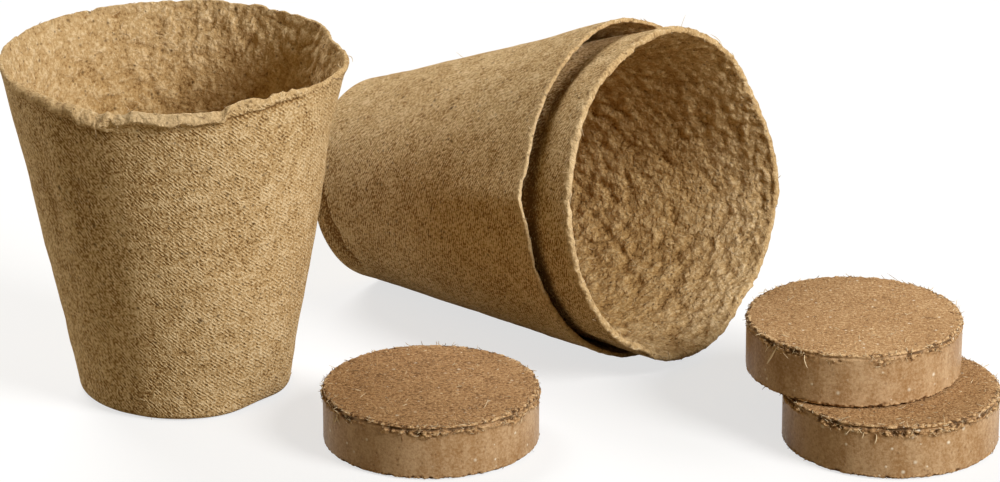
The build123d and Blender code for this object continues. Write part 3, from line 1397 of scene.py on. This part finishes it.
@dataclass(frozen=True)
class Studio:
    """Pale floor, soft key light from the right front, back and side fill, and the photograph's camera."""

    eye: tuple[float, float, float] = (0.226 * MM, -1104.77 * MM, 451.09 * MM)
    pitch: float = 20.926
    lens: float = 180.0
    sensor: float = 36.0
    lamps: tuple[Lamp, ...] = (
        Lamp("key", -38.0, 34.0, 1.1, 0.45, 13.2),
        Lamp("back_fill", 120.0, 45.0, 1.5, 0.8, 15.2),
        Lamp("side_card", 172.0, 10.0, 0.40, 0.12, 0.22),
    )
    ambient: Color = (1.0, 0.74, 0.28)
    ambient_strength: float = 0.15
    bounce: Color = (0.31, 0.257, 0.168)
    shade: float = 0.30
    glow: float = 0.69
    floor_half: float = 8.0
    floor_drop: float = 0.2 * MM

    def build(self) -> None:
        """Adds camera, lamps, world and floor."""
        self.add_camera()
        for lamp in self.lamps:
            lamp.build()
        self.light_world()
        self.add_floor()

    def add_camera(self) -> None:
        """Adds the camera, level from side to side and pitched down."""
        data = bpy.data.cameras.new("camera")
        data.lens = self.lens
        data.sensor_width = self.sensor
        data.sensor_fit = "HORIZONTAL"
        data.clip_start = 0.05
        data.clip_end = 50.0
        camera = bpy.data.objects.new("camera", data)
        camera.location = self.eye
        camera.rotation_euler = (math.radians(90.0 - self.pitch), 0.0, 0.0)
        bpy.context.scene.collection.objects.link(camera)
        bpy.context.scene.camera = camera

    @staticmethod
    def seen_directly(write: NodeWriter) -> Socket:
        """1 for rays from the camera and for those that a gloss or a glass sends on."""
        path = write.node("ShaderNodeLightPath")
        seen = write.math("MAXIMUM", path.outputs["Is Camera Ray"], path.outputs["Is Glossy Ray"])
        return write.math("MAXIMUM", seen, path.outputs["Is Transmission Ray"])

    def mix_seen(
        self, write: NodeWriter, unseen: bpy.types.Node, seen: bpy.types.Node, target: Socket
    ) -> None:
        """Feeds one shader to a target for rays that see it directly, and another one for all other rays."""
        mixed = write.node("ShaderNodeMixShader")
        write.feed(mixed.inputs[0], self.seen_directly(write))
        write.feed(mixed.inputs[1], unseen.outputs[0])
        write.feed(mixed.inputs[2], seen.outputs[0])
        write.feed(target, mixed.outputs[0])

    def light_world(self) -> None:
        """Gives the world a weak warm light, and white where it is seen."""
        world = bpy.data.worlds.new("world")
        world.use_nodes = True
        bpy.context.scene.world = world
        nodes = world.node_tree.nodes
        write = NodeWriter(world.node_tree)
        soft = nodes["Background"]
        soft.inputs["Color"].default_value = (*self.ambient, 1.0)
        soft.inputs["Strength"].default_value = self.ambient_strength
        white = write.node("ShaderNodeBackground")
        white.inputs["Color"].default_value = (1.0, 1.0, 1.0, 1.0)
        self.mix_seen(write, soft, white, nodes["World Output"].inputs["Surface"])

    def add_floor(self) -> None:
        """Adds a level floor that is white where it is seen and keeps a soft shadow."""
        half = self.floor_half
        corners = np.array([(-half, -half), (half, -half), (half, half), (-half, half)])
        points = np.hstack([corners, np.full((4, 1), -self.floor_drop)])
        floor = add_object("floor", points, [[0, 1, 2, 3]], {})
        material = bpy.data.materials.new("floor")
        material.use_nodes = True
        nodes = material.node_tree.nodes
        nodes.remove(nodes["Principled BSDF"])
        write = NodeWriter(material.node_tree)
        bounce = write.node("ShaderNodeBsdfDiffuse")
        bounce.inputs["Color"].default_value = (*self.bounce, 1.0)
        shade = write.node("ShaderNodeBsdfDiffuse")
        shade.inputs["Color"].default_value = (self.shade, self.shade, self.shade, 1.0)
        glow = write.node("ShaderNodeEmission")
        glow.inputs["Color"].default_value = (1.0, 1.0, 1.0, 1.0)
        glow.inputs["Strength"].default_value = self.glow
        seen = write.node("ShaderNodeAddShader")
        write.feed(seen.inputs[0], shade.outputs[0])
        write.feed(seen.inputs[1], glow.outputs[0])
        self.mix_seen(write, bounce, seen, nodes["Material Output"].inputs["Surface"])
        floor.data.materials.append(material)


def make_pots(frame: dict) -> list[Pot]:
    """Lists the pots with their places and the ways in which each has lost its round shape.

    Args:
        frame: The loaded frame.

    Returns:
        The three pots.
    """
    pull = next(joint for joint in frame["joints"] if joint["name"] == "outer_pot_pull")
    heading = math.atan2(-pull["axis"][1], -pull["axis"][0])
    upright = Place.upright("standing_pot")
    plain = Pot("standing_pot", upright, 0, edge=1.8 * MM, rim_round=0.7 * MM)
    standing = Pot(
        "standing_pot",
        upright,
        seed=11,
        seam=90.0,
        rim=(
            RimFeature(17.0, 9.0, out=-1.9 * MM),
            RimFeature(38.0, 8.0, out=0.4 * MM),
            RimFeature(70.0, 16.0, up=0.6 * MM),
            RimFeature(192.0, 24.0, out=0.15 * MM),
            RimFeature(251.0, 4.5, up=-1.4 * MM),
            RimFeature(261.0, 6.0, up=0.4 * MM),
            RimFeature(352.0, 8.0, out=0.5 * MM),
        ),
        stretches=(
            RimStretch(209.0, 250.5, out=0.2 * MM, drop=0.9 * MM, rough=0.6, soft=4.0),
            RimStretch(230.0, 250.0, out=0.3 * MM, drop=0.8 * MM, rough=0.3, soft=2.0),
            RimStretch(241.0, 249.8, out=0.5 * MM, drop=1.1 * MM, rough=0.3, soft=1.6),
            RimStretch(253.5, 290.5, out=1.0 * MM, drop=2.2 * MM, soft=1.2),
            RimStretch(292.0, 321.0, rise=0.5 * MM, rough=2.4, soft=4.0),
            RimStretch(332.0, 366.0, out=0.3 * MM, drop=0.6 * MM, soft=5.0),
        ),
        dents=(
            # The steps' creases and the hollows' shade are painted shade.
            WallStep(209.0, 252.5, 80.4 * MM, 76.4 * MM, above=1.1 * MM, below=-0.6 * MM, fade=1.6 * MM),
            WallStep(
                291.0, 322.0, 78.2 * MM, 79.6 * MM, above=0.35 * MM, below=-0.4 * MM, fade=0.6 * MM, soft=4.0
            ),
            WallDent(243.0, 8.0, 45.0 * MM, 34.0 * MM, 0.35 * MM, shade=0.12),
            WallDent(233.0, 5.0, 58.0 * MM, 26.0 * MM, 0.5 * MM, shade=0.2),
            WallDent(218.0, 4.0, 55.0 * MM, 24.0 * MM, 0.45 * MM, shade=0.15),
            WallDent(348.0, 22.0, 64.0 * MM, 13.0 * MM, 0.8 * MM),
            WallDent(320.0, 18.0, 0.0, 5.0 * MM, 1.0 * MM),
        ),
        coarse=225.0,
        worn_width=24.0,
        felt=0.45 * MM,
        base_shift=0.7 * MM,
        rim_shift=-0.3 * MM,
        edge=0.9 * MM,
    )
    outer = Pot(
        "outer_pot",
        Pot.lying("outer_pot", heading, plain),
        seed=23,
        rim=(
            RimFeature(258.0, 7.0, out=1.5 * MM),
            RimFeature(270.0, 6.0, out=-0.2 * MM),
            RimFeature(178.0, 18.0, out=0.8 * MM),
        ),
        dents=(
            # A step at the base, its crease below the line darkened with painted shade.
            WallStep(
                252.0, 308.0, 4.6 * MM, 9.6 * MM, below=-1.7 * MM, fade=2.6 * MM, soft=8.0, step=0.4 * MM
            ),
        ),
        worn=250.0,
        felt=0.30 * MM,
        felt_sunk=1.0,
        ragged=0.30 * MM,
        edge=1.0 * MM,
        rim_zone=11.0 * MM,
    )
    inner = Pot(
        "inner_pot",
        Pot.lying("inner_pot", heading, plain),
        seed=37,
        rim=(
            RimFeature(30.0, 9.0, out=-1.4 * MM),
            RimFeature(76.0, 14.0, out=1.6 * MM),
            RimFeature(113.0, 16.0, out=-1.5 * MM),
            RimFeature(150.0, 18.0, out=-0.8 * MM),
            RimFeature(193.0, 22.0, out=-1.7 * MM),
            RimFeature(240.0, 18.0, out=-0.5 * MM),
            RimFeature(328.0, 7.0, out=-1.2 * MM),
        ),
        dents=(
            # Hollows next to the outer pot's rim; their shade paints the dark gap there as painted shade.
            WallDent(212.0, 26.0, 67.0 * MM, 3.6 * MM, 1.5 * MM, shade=0.3),
            WallDent(275.0, 45.0, 66.5 * MM, 2.8 * MM, 1.1 * MM, shade=0.9),
        ),
        worn=252.0,
        ragged=0.45 * MM,
        felt=0.50 * MM,
        edge=1.7 * MM,
        rim_round=0.75 * MM,
    )
    return [standing, outer, inner]


def make_pellets() -> list[Pellet]:
    """Lists the pellets, each with its own fraying and long fibres."""
    tuft = (
        SideFibre(209.0, 11.7 * MM, -78.0, 3.4 * MM, width=0.34 * MM),
        SideFibre(211.5, 11.5 * MM, -62.0, 2.8 * MM, bend=0.25),
        SideFibre(213.0, 11.3 * MM, -95.0, 2.4 * MM, bend=-0.3, width=0.3 * MM),
    )
    dangling = (
        # Held at full straw tone as a painted highlight, where it stands out into the light.
        SideFibre(221.5, 11.4 * MM, -118.0, 5.2 * MM, width=0.42 * MM, tone=1.3),
        SideFibre(239.5, 11.6 * MM, -100.0, 2.6 * MM, bend=0.55, width=0.32 * MM),
        SideFibre(217.0, 11.3 * MM, -150.0, 2.4 * MM, bend=0.4),
    )
    hooked = (
        SideFibre(258.0, 11.0 * MM, -70.0, 2.2 * MM, bend=-0.5, width=0.3 * MM),
        SideFibre(252.0, 11.2 * MM, -120.0, 1.6 * MM, bend=0.3),
    )
    return [
        Pellet("front_pellet", Place.upright("front_pellet"), 41, tuft, fringe=1.2, tone=-0.16),
        Pellet("lower_pellet", Place.upright("lower_pellet"), 53, hooked, fringe=1.25, tone=-0.08),
        Pellet("upper_pellet", Place.upright("upper_pellet"), 67, dangling, fringe=0.9, tone=0.06),
    ]


def main() -> None:
    """Loads the frame, builds the finishes, the pieces and the studio."""
    logging.basicConfig(level=logging.INFO, format="%(name)s: %(message)s")
    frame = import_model()
    effects = EffectGroups()
    peat = PressedPeat().build(effects)
    coir = PressedCoir().build(effects)
    fibre = LooseFibre().build()
    pieces = [piece for pot in make_pots(frame) for piece in pot.build(peat, fibre)]
    pieces += [piece for pellet in make_pellets() for piece in pellet.build(coir, fibre)]
    for piece in pieces:
        log.info("%s: %d faces", piece.name, len(piece.data.polygons))
    Studio().build()
    bpy.context.scene.view_settings.view_transform = "Standard"


if __name__ == "__main__":
    main()
